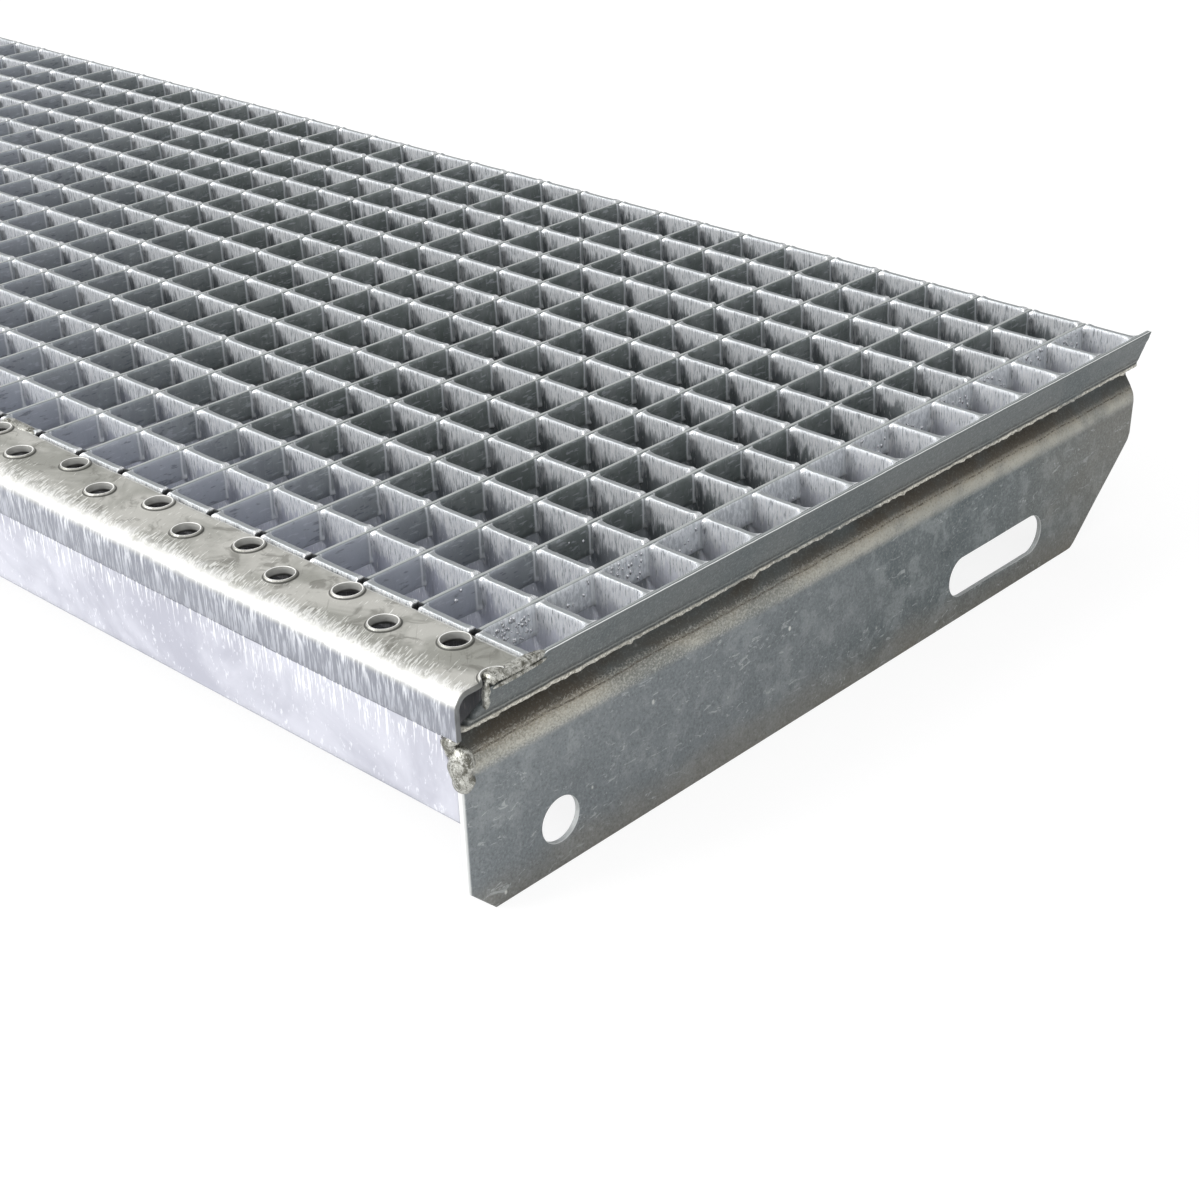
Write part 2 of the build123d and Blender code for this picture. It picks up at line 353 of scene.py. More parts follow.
def crossFinish():
    # thin strips: dull faces with a painted highlight line on top, and painted highlights on the upright
    # strips and feet in the corners
    f = newFinish("zincCrossBar", crossColours)
    x, y, z = f.axes()
    low, high = crossLow[2], crossHigh[2]
    grain = f.noise(f.place((1, 1, 0.4)), 900, 3.0, 0.6)
    clouds = f.noise(f.place(), 95, 3.0, 0.6)
    marks = f.noise(f.place((1, 0.22, 1)), 800, 2.0, 0.6)
    fromBar = f.fromNearest(y, barPlaces[0], pitch)
    fromMiddle = f.fromNearest(x, crossings[0], pitch)
    f.tone = f.mixed(f.spread(clouds, 0.35, 0.65), "dark", "light")
    # painted light: paler towards the left and in the front rows, where light falls into the cells
    f.tint(lightFallsIn(f, x, y, clouds) * 0.9, "left")
    f.tint(f.spread(marks, 0.6, 0.68) * 0.5, "darkMark")
    f.tint(f.spread(marks, 0.4, 0.34) * 0.4, "paleMark")
    # painted light in the cells beside the end plate, where light comes in past it
    beside = f.spread(x, crossings[-1], crossings[-1] + 0.3)
    bright = f.mixed(f.spread(grain, 0.4, 0.6), "litBesidePlate", "litBesidePlateLight")
    f.tone = f.blend(beside, f.tone, bright)
    f.tint(f.spread(grain, 0.56, 0.7) * (0.2 + beside * 0.5), "grain")
    # painted highlights on the zinc fillets in the corners: a strip and a brighter line
    wander = fromBar + (clouds - 0.5) * 1.5
    f.tint(f.band(wander, 2.0, 0.8, 0.5) * 0.5, "filletHighlight")
    f.tint(f.band(wander, 2.5, 0.2, 0.25) * 0.75, "line")
    # painted highlight on the zinc foot at the bottom of each corner
    foot = f.spread(fromBar, 3.4, 2.4) * f.spread(z, low + 2.2, low + 1.0)
    f.tint(foot * 0.75, "foot")
    # painted light along the lower edge, as if lit from below
    f.tint(f.spread(z, low + 0.6, low + 0.3) * 0.6, "under")
    crown = f.spread(z, high - 0.45, high - 0.2)
    f.tint(crown, "crown")
    # painted highlight along the middle of the top
    f.tint(crown * f.spread(fromMiddle, 0.62, 0.42), "crest")
    # painted shade in the notch beside the first bar
    notch = f.spread(y, barHigh[1] + 0.6, barHigh[1] - 0.2) * f.spread(z, 66, 67)
    f.tint(notch * 0.95, "notch")
    return f.close(0.48 - foot * 0.1, zinc["metallic"], grain * 0.6 + clouds, 0.14)


# height on the end plate and colour there: flat, shoulder with a painted highlight band, groove darkened
# by a painted dark reflection, bead as a painted highlight line, step and lip
plateBands = [(height / plateTop, colour) for height, colour in (
    (0.0, (122, 119, 110)), (4.0, (118, 121, 120)), (12.0, (110, 117, 119)), (42.6, (110, 117, 119)),
    (43.6, (146, 148, 144)), (45.0, (176, 175, 166)), (46.8, (180, 177, 166)), (48.6, (156, 150, 136)),
    (49.8, (82, 76, 66)), (53.5, (50, 46, 38)), (55.6, (40, 38, 34)), (55.9, (206, 203, 192)),
    (57.4, (214, 211, 200)), (57.8, (54, 54, 50)), (58.4, (84, 86, 84)), (58.8, (146, 148, 145)),
    (59.3, (78, 81, 80)), (60.6, (114, 118, 118)), (66.0, (112, 117, 118)), (plateTop, (116, 121, 122)),
)]
plateColours = {
    "cloud": (94, 103, 106), "paleBlot": (146, 152, 153), "darkBlot": (80, 87, 90),
    "forward": (152, 156, 160), "warm": (134, 130, 121), "scuff": (192, 196, 196),
    "paleGrain": (170, 174, 173), "darkGrain": (70, 74, 74), "shoulderPale": (222, 220, 211),
    "shoulderDark": (110, 104, 94), "crack": (72, 63, 54), "beadDark": (104, 100, 90),
    "beadPale": (244, 242, 234), "crest": (112, 117, 118), "ledge": (160, 165, 165),
    "rim": (232, 234, 233), "speck": (226, 227, 223), "pit": (34, 34, 34),
    "cutWallHighlight": (222, 225, 224), "frontEdge": (240, 241, 240),
}


def plateFinish():
    # bands by height: flat, shoulder, groove, bead and lip, with painted highlights and a painted dark
    # reflection among them, and with clouds, pits and specks
    f = newFinish("zincPlate", plateColours)
    x, y, z = f.axes()
    outward = f.absolute(x)
    fine = f.noise(f.place(), 1300, 3.0, 0.65)
    grit = f.noise(f.place((1, 0.8, 1)), 1700, 3.0, 0.65)
    clouds = f.noise(f.place((1, 0.8, 1.3)), 24, 5.0, 0.62, 0.5)
    blots = f.noise(f.place(), 90, 4.0, 0.62, 0.3)
    level = f.line(z + (blots - 0.5) * 0.7 + (grit - 0.5) * 0.2, 0.0, plateTop)
    f.tone = f.node("ValToRGB", {"stops": plateBands}, {0: level})
    flat = f.spread(z, 46, 42)
    forward = f.spread(y + (clouds - 0.5) * 100, 40, -60)
    f.tint(f.spread(clouds, 0.38, 0.62) * 0.6, "cloud")
    f.tint(f.spread(blots, 0.48, 0.62) * 0.6 * flat, "paleBlot")
    f.tint(f.spread(blots, 0.42, 0.3) * 0.5 * flat, "darkBlot")
    f.tint(forward * flat * 0.4, "forward")
    rear = f.spread(y + (clouds - 0.5) * 140, 60, 160)
    low = f.spread(z + (clouds - 0.5) * 18, 15, 2)
    f.tint(f.larger(rear * 0.6, low * 0.5) * flat, "warm")
    scuff = f.spread(f.noise(f.place((1, 0.4, 1), (5, 0, 0)), 420, 3.0, 0.7, 1.2), 0.6, 0.68)
    f.tint(scuff * f.spread(clouds, 0.38, 0.52) * 0.55 * flat, "scuff")
    groove = f.band(z, 53, 2.5, 1.5)
    f.tint(f.spread(fine, 0.5, 0.68) * (0.3 - groove * 0.2), "paleGrain")
    f.tint(f.spread(fine, 0.46, 0.34) * 0.3, "darkGrain")
    speckled = f.band(z, 46.8, 2.6, 1.4) * (0.2 + forward * 0.8)
    f.tint(f.spread(grit, 0.5, 0.6) * speckled * 0.3, "shoulderPale")
    f.tint(f.spread(grit, 0.47, 0.39) * speckled * 0.25, "shoulderDark")
    crack = f.band(z + (blots - 0.5) * 1.4, 48.6, 0.14, 0.18)
    f.tint(crack * 0.8 * f.spread(grit, 0.44, 0.54), "crack")
    bead = f.band(z, 56.7, 0.7, 0.3) * f.spread(outward, 394.5, 395.2)
    f.tint(bead * f.spread(grit, 0.5, 0.42) * 0.6, "beadDark")
    f.tint(bead * f.spread(grit, 0.56, 0.64) * 0.7, "beadPale")
    # the lip's upper edge: a paler ledge and a painted highlight on the rim
    crest = f.spread(z, 69.3, 69.7)
    f.tint(crest, "crest")
    f.tint(crest * f.band(outward, 398.35, 0.28, 0.2), "ledge")
    f.tint(crest * f.band(outward + (blots - 0.5) * 0.4, 399.35, 0.12, 0.16), "rim")
    speck = f.spread(f.dots(f.place((1, 1, 0.7)), 110.0), 0.08, 0.04) * f.spread(clouds, 0.5, 0.6)
    f.tint(speck * 0.8, "speck")
    pit = f.spread(f.dots(f.place((1, 1, 0.6), (3, 1, 2)), 80.0), 0.06, 0.03)
    pit = pit * f.spread(clouds, 0.52, 0.6)
    f.tint(pit * 0.85, "pit")
    # painted highlights on the cut walls of the hole and slot, and on the plate's front edge
    f.tint(f.band(outward, 395.5, 0.72, 0.1) * f.spread(z, 30, 28) * 0.85, "cutWallHighlight")
    f.tint(f.spread(y, plateFront + 1.0, plateFront + 0.2) * 0.85, "frontEdge")
    rough = 0.5 - speck * 0.2 + f.spread(clouds, 0.3, 0.7) * 0.08
    height = fine * 0.25 + grit * 0.5 + blots * 0.6 + speck * 0.8 - pit * 1.5
    return f.close(rough, zinc["metallic"], height, 0.22)


nosingColours = {
    "dark": (154, 154, 147), "light": (192, 191, 185), "grime": (110, 109, 102),
    "scratch": (242, 242, 238), "gouge": (104, 102, 96), "nose": (236, 236, 235),
    "legDark": (136, 139, 148), "legLight": (172, 175, 184), "brush": (240, 242, 245),
    "rearBend": (226, 227, 224), "holeFootShade": (66, 66, 62), "holeRimHighlight": (252, 252, 250),
    "holeWall": (188, 188, 184), "holeDepthShade": (52, 51, 48), "inside": (52, 52, 50),
    "litInsideEnd": (214, 218, 222), "cutEnd": (92, 94, 92),
}


def nosingFinish():
    # warm grey top with slanting scratches, upright strokes on the leg, painted highlights on the rims,
    # nose and bends, and painted shade in the holes and on the inner side
    f = newFinish("zincNosing", nosingColours)
    x, y, z = f.axes()
    down = plateTop - z
    behind = y - treadFront
    strokes = f.noise(f.place((1, 0.2, 0.1)), 1500, 3.0, 0.6)
    tufts = f.noise(f.place((1, 0.3, 0.3)), 330, 2.0, 0.6)
    clouds = f.noise(f.place((1, 1.4, 1.4)), 38, 4.0, 0.6, 0.6)
    fine = f.noise(f.place(), 1400, 2.0, 0.6)
    grime = f.noise(f.place((1, 1, 1), (2, 1, 0)), 130, 4.0, 0.65, 0.8)
    scratch = f.noise(f.slanted(1.95, 0.12), 1500, 3.0, 0.6)
    deep = f.noise(f.slanted(2.35, 0.04), 1500, 1.0)
    onTop = f.spread(down, 0.9, 0.3)
    leg = f.spread(down, 2.2, 5.0)
    # painted highlight on the nose bend
    nose = f.spread(behind + (tufts - 0.5) * 10, 6.5, 1.5)
    near = f.spread(behind + (clouds - 0.5) * 22, 13, 3)
    f.tone = f.mixed(f.spread(clouds, 0.38, 0.62), "dark", "light")
    f.tint(f.spread(grime, 0.52, 0.66) * 0.6, "grime")
    # towards the nose the scratches are brighter: real scratches with painted highlight from the nose
    lines = f.spread(scratch + (near - 0.5) * 0.18 + (clouds - 0.5) * 0.2, 0.54, 0.64) * onTop
    f.tint(lines * 0.7, "scratch")
    gouge = f.spread(deep, 0.7, 0.74) * onTop
    f.tint(gouge * 0.2, "gouge")
    f.tint(nose * (1 - leg) * 0.5, "nose")
    streak = f.spread(strokes + (tufts - 0.5) * 0.4, 0.44, 0.58)
    legTone = f.mixed(streak, "legDark", "legLight")
    # bright strokes on the leg fading in towards the top: brushed zinc with painted highlight from the
    # nose
    brush = f.spread(strokes + (tufts - 0.5) * 0.5, 0.56, 0.64) * f.spread(z, 59, 66)
    legTone = f.blend(brush * 0.65, legTone, srgb(*nosingColours["brush"]))
    f.tone = f.blend(leg * 0.95, f.tone, legTone)
    # painted highlight along the rear bend
    f.tint(f.spread(y, barLow[1] - 2.4, barLow[1] - 1.4) * onTop * 0.7, "rearBend")
    # the holes: painted shade round the foot of the rim, a painted highlight on the rim and painted
    # shade in the depth
    gaps = []
    for x0, y0 in (nosing["rearRow"], nosing["frontRow"]):
        aside = f.fromNearest(x, x0, nosing["holePitch"])
        gaps.append((aside * aside + (y - y0) * (y - y0)) ** 0.5)
    fromHole = f.smaller(*gaps)
    f.tint(f.band(fromHole, 4.85, 0.12, 0.25) * onTop * 0.9, "holeFootShade")
    f.tint(f.band(fromHole, 4.15, 0.07, 0.12) * f.spread(down, 0.0, -0.3), "holeRimHighlight")
    wall = f.spread(fromHole, 3.97, 3.88)
    f.tint(wall, "holeWall")
    f.tint(wall * f.spread(down, 0.9, 1.5) * 0.9, "holeDepthShade")
    # the inner side in painted shade, with painted light at the open ends, and the cut ends of the sheet
    outward = f.absolute(x)
    inside = f.spread(behind, 1.7, 1.95) * f.spread(down, 1.3, 1.9)
    f.tone = f.blend(inside * 0.9, f.tone, f.mixed(f.spread(outward, 388, 391), "inside", "litInsideEnd"))
    f.tint(f.spread(outward, nosingHalf - 0.35, nosingHalf - 0.15) * 0.85, "cutEnd")
    rough = 0.42 - lines * 0.1 + clouds * 0.12 - streak * leg * 0.12
    height = scratch * 0.3 * onTop + strokes * leg * 0.8 + fine * 0.2 - gouge * 0.15 + clouds * 0.3
    return f.close(rough, zinc["metallic"], height, 0.26)


frontBarColours = {
    "dark": (178, 179, 190), "light": (204, 205, 214), "sprinkle": (240, 241, 246),
    "drip": (246, 247, 250), "legShadow": (104, 108, 118), "foot": (150, 154, 162),
}


def frontBarFinish():
    # pale lavender sheet with clouds and sprinkles, drips below the nosing's leg, and a painted shadow
    # under the leg's edge
    f = newFinish("zincFrontBar", frontBarColours)
    z = f.axes()[2]
    drips = f.noise(f.place((1, 1, 0.1)), 950, 3.0, 0.6)
    clouds = f.noise(f.place((1, 1, 1.2)), 26, 5.0, 0.6, 0.6)
    sprinkle = f.noise(f.place((1, 1, 0.45)), 760, 3.0, 0.7)
    high = f.spread(z + (drips - 0.5) * 26 + (clouds - 0.5) * 16, 48, 55)
    f.tone = f.mixed(f.spread(clouds, 0.35, 0.65), "dark", "light")
    f.tint(f.spread(sprinkle, 0.6, 0.66) * 0.5, "sprinkle")
    drip = f.spread(drips, 0.53, 0.58) * high
    f.tint(drip * 0.85, "drip")
    # painted shadow under the lower edge of the nosing's leg
    f.tint(f.spread(z, 54.5, 54.75) * (0.9 - drip * 0.5), "legShadow")
    f.tint(f.spread(z, 30.9, 30.3) * 0.6, "foot")
    return f.close(0.46, zinc["metallic"], drips * high + clouds * 0.4 + sprinkle * 0.3, 0.2)


weldColours = {
    "hollow": (108, 107, 98), "crest": (190, 190, 183), "ripple": (66, 65, 58),
    "speck": (240, 240, 236),
}


def weldFinish():
    # pale grey zinc over swirling ripples, with olive shade in the hollows
    f = newFinish("zincWeld", weldColours)
    lumps = f.noise(f.place(), 260, 2.0, 0.5, 1.2)
    swirl = f.noise(f.place(), 420, 1.0, 0.5, 2.5)
    fine = f.noise(f.place(), 1700, 2.0, 0.6)
    f.tone = f.mixed(f.spread(lumps, 0.36, 0.6), "hollow", "crest")
    f.tint(f.band(swirl, 0.5, 0.012, 0.028) * 0.7, "ripple")
    f.tint(f.spread(fine, 0.56, 0.66) * 0.5, "speck")
    return f.close(0.34 + fine * 0.15, 0.75, lumps + swirl * 0.6 + fine * 0.2, 0.22)


def dropFinish():
    # smooth, pale to near white by noise: painted highlights of the drops
    f = newFinish("zincDrop", {"dark": (150, 154, 161), "light": (250, 251, 253)})
    f.tone = f.mixed(f.noise(f.place(), 900, 2.0), "dark", "light")
    return f.close(0.25, 0.8)


slotFinish = {
    "galvanised_plate": plateFinish(),
    "galvanised_nosing": nosingFinish(),
    "galvanised_bar": barFinish(),
    "galvanised_cross_bar": crossFinish(),
    "zinc_weld": weldFinish(),
}
print("finishes made")


# surfaces: points are worked out in millimetres as whole arrays, and put into a mesh in metres

def makePiece(name, points, faces, slot, nodes, crease, finish=None):
    # faces are rows of four corners. They are turned outwards by the sign of the volume:
    # the sum over all faces of the corner's dot product with the cross product of the next two
    used, faces = np.unique(faces, return_inverse=True)
    faces = faces.reshape(-1, 4)
    points = points.reshape(-1, 3)[used]
    corner = points[faces]
    firstHalf = np.einsum("ij,ij->i", corner[:, 0], np.cross(corner[:, 1], corner[:, 2]))
    otherHalf = np.einsum("ij,ij->i", corner[:, 0], np.cross(corner[:, 2], corner[:, 3]))
    if firstHalf.sum() + otherHalf.sum() < 0:
        faces = faces[:, ::-1]
    mesh = bpy.data.meshes.new(name)
    mesh.vertices.add(len(points))
    mesh.vertices.foreach_set("co", (points * mm).astype(np.float32).ravel())
    mesh.loops.add(faces.size)
    mesh.loops.foreach_set("vertex_index", faces.astype(np.int32).ravel())
    mesh.polygons.add(len(faces))
    mesh.polygons.foreach_set("loop_start", np.arange(0, faces.size, 4, dtype=np.int32))
    mesh.polygons.foreach_set("use_smooth", np.ones(len(faces), bool))
    mesh.update(calc_edges=True)
    mesh.set_sharp_from_angle(angle=np.radians(crease))
    mesh.materials.append(finish or slotFinish[slot])
    piece = bpy.data.objects.new(name, mesh)
    bpy.context.scene.collection.objects.link(piece)
    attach(piece, "root")
    if nodes:
        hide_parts(*nodes)
    return piece


def ease(value, low, high):
    # 0 below low, 1 above high, and 3t^2 - 2t^3 of the way between them
    t = np.clip((value - low) / (high - low), 0, 1)
    return t * t * (3 - 2 * t)


def swell(distance, width):
    # a round bump: e to the minus of the distance over the width, squared
    return np.exp(-(distance / width) ** 2)


def waves(seed, wavelength, *where):
    # a rough, repeatable surface: a quarter of the sum of eight sines, each with a direction, a
    # length near the given one and a phase of its own
    draw = np.random.default_rng(seed)
    total = 0.0
    for _ in range(8):
        length = wavelength * draw.uniform(0.6, 1.6)
        turn = draw.normal(size=len(where))
        turn *= 2 * np.pi / length / np.linalg.norm(turn)
        total = total + np.sin(sum(k * w for k, w in zip(turn, where)) + draw.uniform(0, 6.3))
    return total / 4


def loft(rings):
    # rings[column, row] is a tube closed round its rows. Each end is closed by a ladder of
    # quads between the ring's first half and its second half, which mirror each other
    columns, rows = rings.shape[:2]
    index = np.arange(columns * rows).reshape(columns, rows)
    turned = np.roll(index, -1, axis=1)
    sides = np.stack([index[:-1], index[1:], turned[1:], turned[:-1]], axis=-1).reshape(-1, 4)
    low = np.arange(rows // 2 - 1)

    def ladder(ring):
        return np.stack([ring[low], ring[low + 1], ring[rows - 2 - low], ring[rows - 1 - low]], axis=-1)

    return np.concatenate([sides, ladder(index[0]), ladder(index[-1])[:, ::-1]])


def roundedPath(corners, radii, spacing=0.4):
    # straight runs joined by tangent arcs. Gives the distance along the path, the points and
    # the unit normals to the left of the way it runs
    corners = np.array(corners, float)
    points, directions = [corners[0]], []
    for index, radius in enumerate(radii, 1):
        before = corners[index] - corners[index - 1]
        after = corners[index + 1] - corners[index]
        before, after = before / np.linalg.norm(before), after / np.linalg.norm(after)
        turn = np.arctan2(before[0] * after[1] - before[1] * after[0], before @ after)
        tangent = radius * np.tan(abs(turn) / 2)
        count = max(int(radius * abs(turn) / spacing), 3) + 1
        angles = np.linspace(0, turn, count)
        left = np.array([-before[1], before[0]]) * np.sign(turn)
        start = corners[index] - before * tangent
        swing = np.sin(np.abs(angles))[:, None] * before + (1 - np.cos(angles))[:, None] * left
        points.extend(start + radius * swing)
        directions.extend(np.cos(angles)[:, None] * before + np.sin(np.abs(angles))[:, None] * left)
    points.append(corners[-1])
    first, last = corners[1] - corners[0], corners[-1] - corners[-2]
    directions = [first / np.linalg.norm(first), *directions, last / np.linalg.norm(last)]
    points, directions = np.array(points), np.array(directions)
    along = np.concatenate([[0], np.cumsum(np.linalg.norm(np.diff(points, axis=0), axis=1))])
    normals = np.stack([-directions[:, 1], directions[:, 0]], axis=-1)
    return along, points, normals


def onPath(path, distance):
    # point and normal at each distance along a path
    along, points, normals = path
    place = [np.interp(distance, along, points[:, axis]) for axis in (0, 1)]
    normal = np.stack([np.interp(distance, along, normals[:, axis]) for axis in (0, 1)])
    return place, normal / np.linalg.norm(normal, axis=0)


def tube(faces):
    # the two faces of a bar as rings that run up the first and down the second
    return np.concatenate([faces[0], faces[1][:, ::-1]], axis=1)


def stretches(breaks, counts):
    # even steps between each two breaks, as many as the counts say
    steps = [np.linspace(a, b, n, endpoint=False) for a, b, n in zip(breaks, breaks[1:], counts)]
    return np.concatenate([*steps, [breaks[-1]]])


def perforated(across, along, holes, missing=None):
    # a grid of cells over two parameters. Round each hole a block of cells gives way to rings.
    # A ring's point lies its gap away from the outline, on the line from there to the block's
    # edge. A block that reaches the end of the grid leaves an open notch
    index = np.arange(len(across) * len(along)).reshape(len(across), len(along))
    u, v = np.meshgrid(across, along, indexing="ij")
    places = [np.stack([u.ravel(), v.ravel()], axis=-1)]
    keep = np.ones((len(across) - 1, len(along) - 1), bool)
    if missing is not None:
        middle = (u[:-1, :-1] + u[1:, 1:]) / 2, (v[:-1, :-1] + v[1:, 1:]) / 2
        keep &= ~missing(*middle)
    total = index.size
    rings = []
    for (uLow, uHigh, vLow, vHigh), outline, gaps in holes:
        i0, i1 = np.abs(across - uLow).argmin(), np.abs(across - uHigh).argmin()
        j0, j1 = np.abs(along - vLow).argmin(), np.abs(along - vHigh).argmin()
        keep[i0:i1, j0:j1] = False
        low, high = index[i0, j0:j1], index[i1, j1:j0:-1]
        loop = np.concatenate([low, index[i0:i1, j1], high, index[i1:i0:-1, j0]])
        closed = i1 < len(across) - 1
        if not closed:
            loop = np.concatenate([index[i1:i0:-1, j0], low, index[i0:i1 + 1, j1]])
        edge = places[0][loop]
        target = outline(edge)
        outward = (edge - target) / np.linalg.norm(edge - target, axis=1)[:, None]
        before = loop
        for gap in gaps:
            ring = total + np.arange(len(loop))
            total += len(loop)
            places.append(target + outward * gap)
            pair = np.stack([before, ring], axis=-1)
            after = np.roll(pair, -1, axis=0)
            quads = np.stack([pair[:, 0], pair[:, 1], after[:, 1], after[:, 0]], axis=-1)
            rings.append(quads if closed else quads[:-1])
            before = ring
    cells = np.stack([index[:-1, :-1], index[1:, :-1], index[1:, 1:], index[:-1, 1:]], axis=-1)
    return np.concatenate(places), np.concatenate([cells[keep], *rings])


def shell(outer, inner, faces, rounding):
    # the sheet between two faces with the same grid. Every free edge is closed by a rim, and
    # its corners are drawn in by the given share of the sheet
    count = len(outer)
    edges = faces[:, [0, 1, 1, 2, 2, 3, 3, 0]].reshape(-1, 2)
    there, back = edges[:, 0] * count + edges[:, 1], edges[:, 1] * count + edges[:, 0]
    rim = edges[~np.isin(there, back)]
    atRim = np.unique(rim)
    outer, inner = outer.copy(), inner.copy()
    gap = inner[atRim] - outer[atRim]
    outer[atRim] += gap * rounding
    inner[atRim] -= gap * rounding
    band = np.stack([rim[:, 1], rim[:, 0], rim[:, 0] + count, rim[:, 1] + count], axis=-1)
    return np.concatenate([outer, inner]), np.concatenate([faces, faces[:, ::-1] + count, band])


# bearing bars: each crossing has its slot, a fillet of zinc in its corners, a thick lump at the
# top and a run that ends in a drop
bars = {
    "columns": (0.93, 0.98, 1.35, 1.9, 2.7, 4.4),           # to both sides of a crossing
    "endColumns": (6.0, 4.0, 2.6, 1.6, 0.9, 0.35, -0.1),    # back from the end
    "lowRows": (42, 54),                                    # heights below the slots
    "upRows": (0.12, 0.28, 0.44, 0.6, 0.75, 0.9, 1.0),      # shares of the way from there up
    "lowShares": (0.7, 1, 1, 1, 1),                         # of the half thickness, below
    "topShares": (0.88, 0.6, 0.2),                          # and in the three rows at the top
    "endBehind": 4.66,          # how far a bar's lower end stands back from the front bar's end
    "cope": 55.5,               # height where the bar's end starts to follow the lip
    "slotFloor": 60.0,
    "slotHalf": 0.95,
    "edgeRadius": 0.35,
    "hollow": 0.13,             # the top sinks between its two edges
    "filletWidth": 0.8,
    "filletLeast": 0.35,
    "filletSpread": 0.75,
    "lumpSize": 0.55,
    "dropSize": 0.7,
    "notch": 1.0,               # the top sinks towards each slot
    "knob": 0.45,               # and swells before it
    "lipFillet": 2.6,
    "runEnd": 57.5,             # mean height at which the runs of zinc end
}


def bearingBar(number):
    # a ring of rows at each column. A face's Y is the bar's middle plus or minus the half
    # thickness and what the zinc adds: fillets that fade as e to the minus of the distance from
    # the slot, round bumps for lumps and drops, and waves
    b = bars
    draw = np.random.default_rng(100 + number)
    middle = barPlaces[number]
    near, nearEnd = np.array(b["columns"]), np.array(b["endColumns"])
    offsets = np.concatenate([-near[::-1], near, [pitch / 2]])
    columns = (crossings[:, None] + offsets).ravel()[:-1]
    count, ends = len(columns), len(nearEnd)
    radius, rowsUpTo = b["edgeRadius"], b["slotFloor"] - 2
    lowRows = np.array([barFloor, barFloor + radius, *b["lowRows"], rowsUpTo])
    upRows = np.array(b["upRows"])

    gap = columns[:, None] - crossings
    nearest = np.abs(gap).argmin(axis=1)
    dx = gap[np.arange(count), nearest]
    inSlot = np.abs(dx) < b["slotHalf"]
    top = np.where(inSlot, b["slotFloor"], barTop)
    knob = draw.uniform(0.5, 1.0, len(crossings))[nearest] * b["knob"] * swell(np.abs(dx) - 2.3, 0.8)
    shaped = knob - b["notch"] * (1 - ease(np.abs(dx), 0.9, 1.5))
    top = top + np.where(inSlot, 0.0, shaped)
    crown = top[:, None] - (0.12, 0.0, b["hollow"])
    side = rowsUpTo + (top[:, None] - radius - rowsUpTo) * upRows
    low = np.broadcast_to(lowRows, (count, len(lowRows)))
    z = np.concatenate([low, side, crown], axis=1)
    share = np.concatenate([b["lowShares"], np.ones(len(upRows)), b["topShares"]])
    x = np.broadcast_to(columns[:, None], z.shape)

    # the two ends: the same rows, with x measured back from the end line
    zEnd = np.broadcast_to(z[count // 2 - 6], (ends, z.shape[1]))
    bodyEnd = boxOf("front_bar")[1][0] - b["endBehind"]
    lean = (barHigh[0] - bodyEnd) / (barTop - b["cope"])
    endLine = bodyEnd + np.clip(zEnd - b["cope"], 0, None) * lean
    xRight = endLine - nearEnd[:, None]
    x = np.concatenate([-xRight[::-1], x, xRight])
    z = np.concatenate([zEnd, z, zEnd])
    toEnd = np.concatenate([nearEnd[::-1], np.full(count, 99.0), nearEnd])
    dx = np.concatenate([np.full(ends, 9.0), dx, np.full(ends, 9.0)])[:, None]
    nearest = np.concatenate([np.zeros(ends, int), nearest, np.full(ends, len(crossings) - 1)])

    # flare at the lip: radius less the height of a circle over the distance still to go
    reach = np.clip(b["lipFillet"] - toEnd, 0, b["lipFillet"] * 0.97)
    flare = b["lipFillet"] - np.sqrt(b["lipFillet"] ** 2 - reach ** 2)
    flare = flare[:, None] * ease(z, 50, 58)

    faces = []
    for face in (-1, 1):
        front = face < 0
        size = draw.uniform(0, 1, (4, len(crossings)))
        away = np.clip(np.abs(dx) - b["slotHalf"], 0, None)
        runEnd = b["runEnd"] + 4.5 * (size[0][nearest] - 0.5)[:, None]
        runEnd = runEnd + np.where(dx > 0, 0.0, 1.5)
        fillet = b["filletLeast"] + b["filletSpread"] * size[1][nearest][:, None]
        fillet = fillet * np.exp(-away / b["filletWidth"]) * ease(z, runEnd - 0.6, runEnd + 1.6)
        lump = b["lumpSize"] * (0.4 + size[2][nearest])[:, None]
        lump = lump * swell(np.abs(dx) - 1.8, 0.8) * swell(z - barTop + 1.4, 1.5)
        lump = lump * np.where(dx > 0, 1.2, 0.6)
        drop = b["dropSize"] * (size[3][nearest] > 0.35)[:, None]
        drop = drop * swell(dx - np.sign(dx) * 1.7, 0.9) * swell(z - runEnd - 0.2, 1.2)
        seed = 1000 + number * 7 + face
        rough = 0.07 * waves(seed, 5, x, z) + 0.05 * waves(seed + 3, 2.2, x, z)
        rough = rough * (z > barFloor + 1)
        bulge = (1.0 if front else 0.7) * (fillet + drop) + (lump if front else lump * 0.4)
        bulge = bulge * ease(barTop - z, -0.2, 0.7) + 0.35 * fillet * (z > barTop - 0.5)
        y = middle + face * (barHalf * share + (bulge + rough) * (share > 0.5) + flare * share)
        faces.append(np.stack([x, y, z + 0.05 * waves(number + 50, 9, x) * (z > barTop - 1)], axis=-1))
    rings = tube(faces)
    rings[..., 2] = np.minimum(rings[..., 2], barTop + 0.5)
    makePiece(f"bearingBar{number + 1:02d}", rings, loft(rings), "galvanised_bar",
              [barNames[number]], 50)


for number in range(len(barNames)):
    bearingBar(number)
print("bearing bars made")


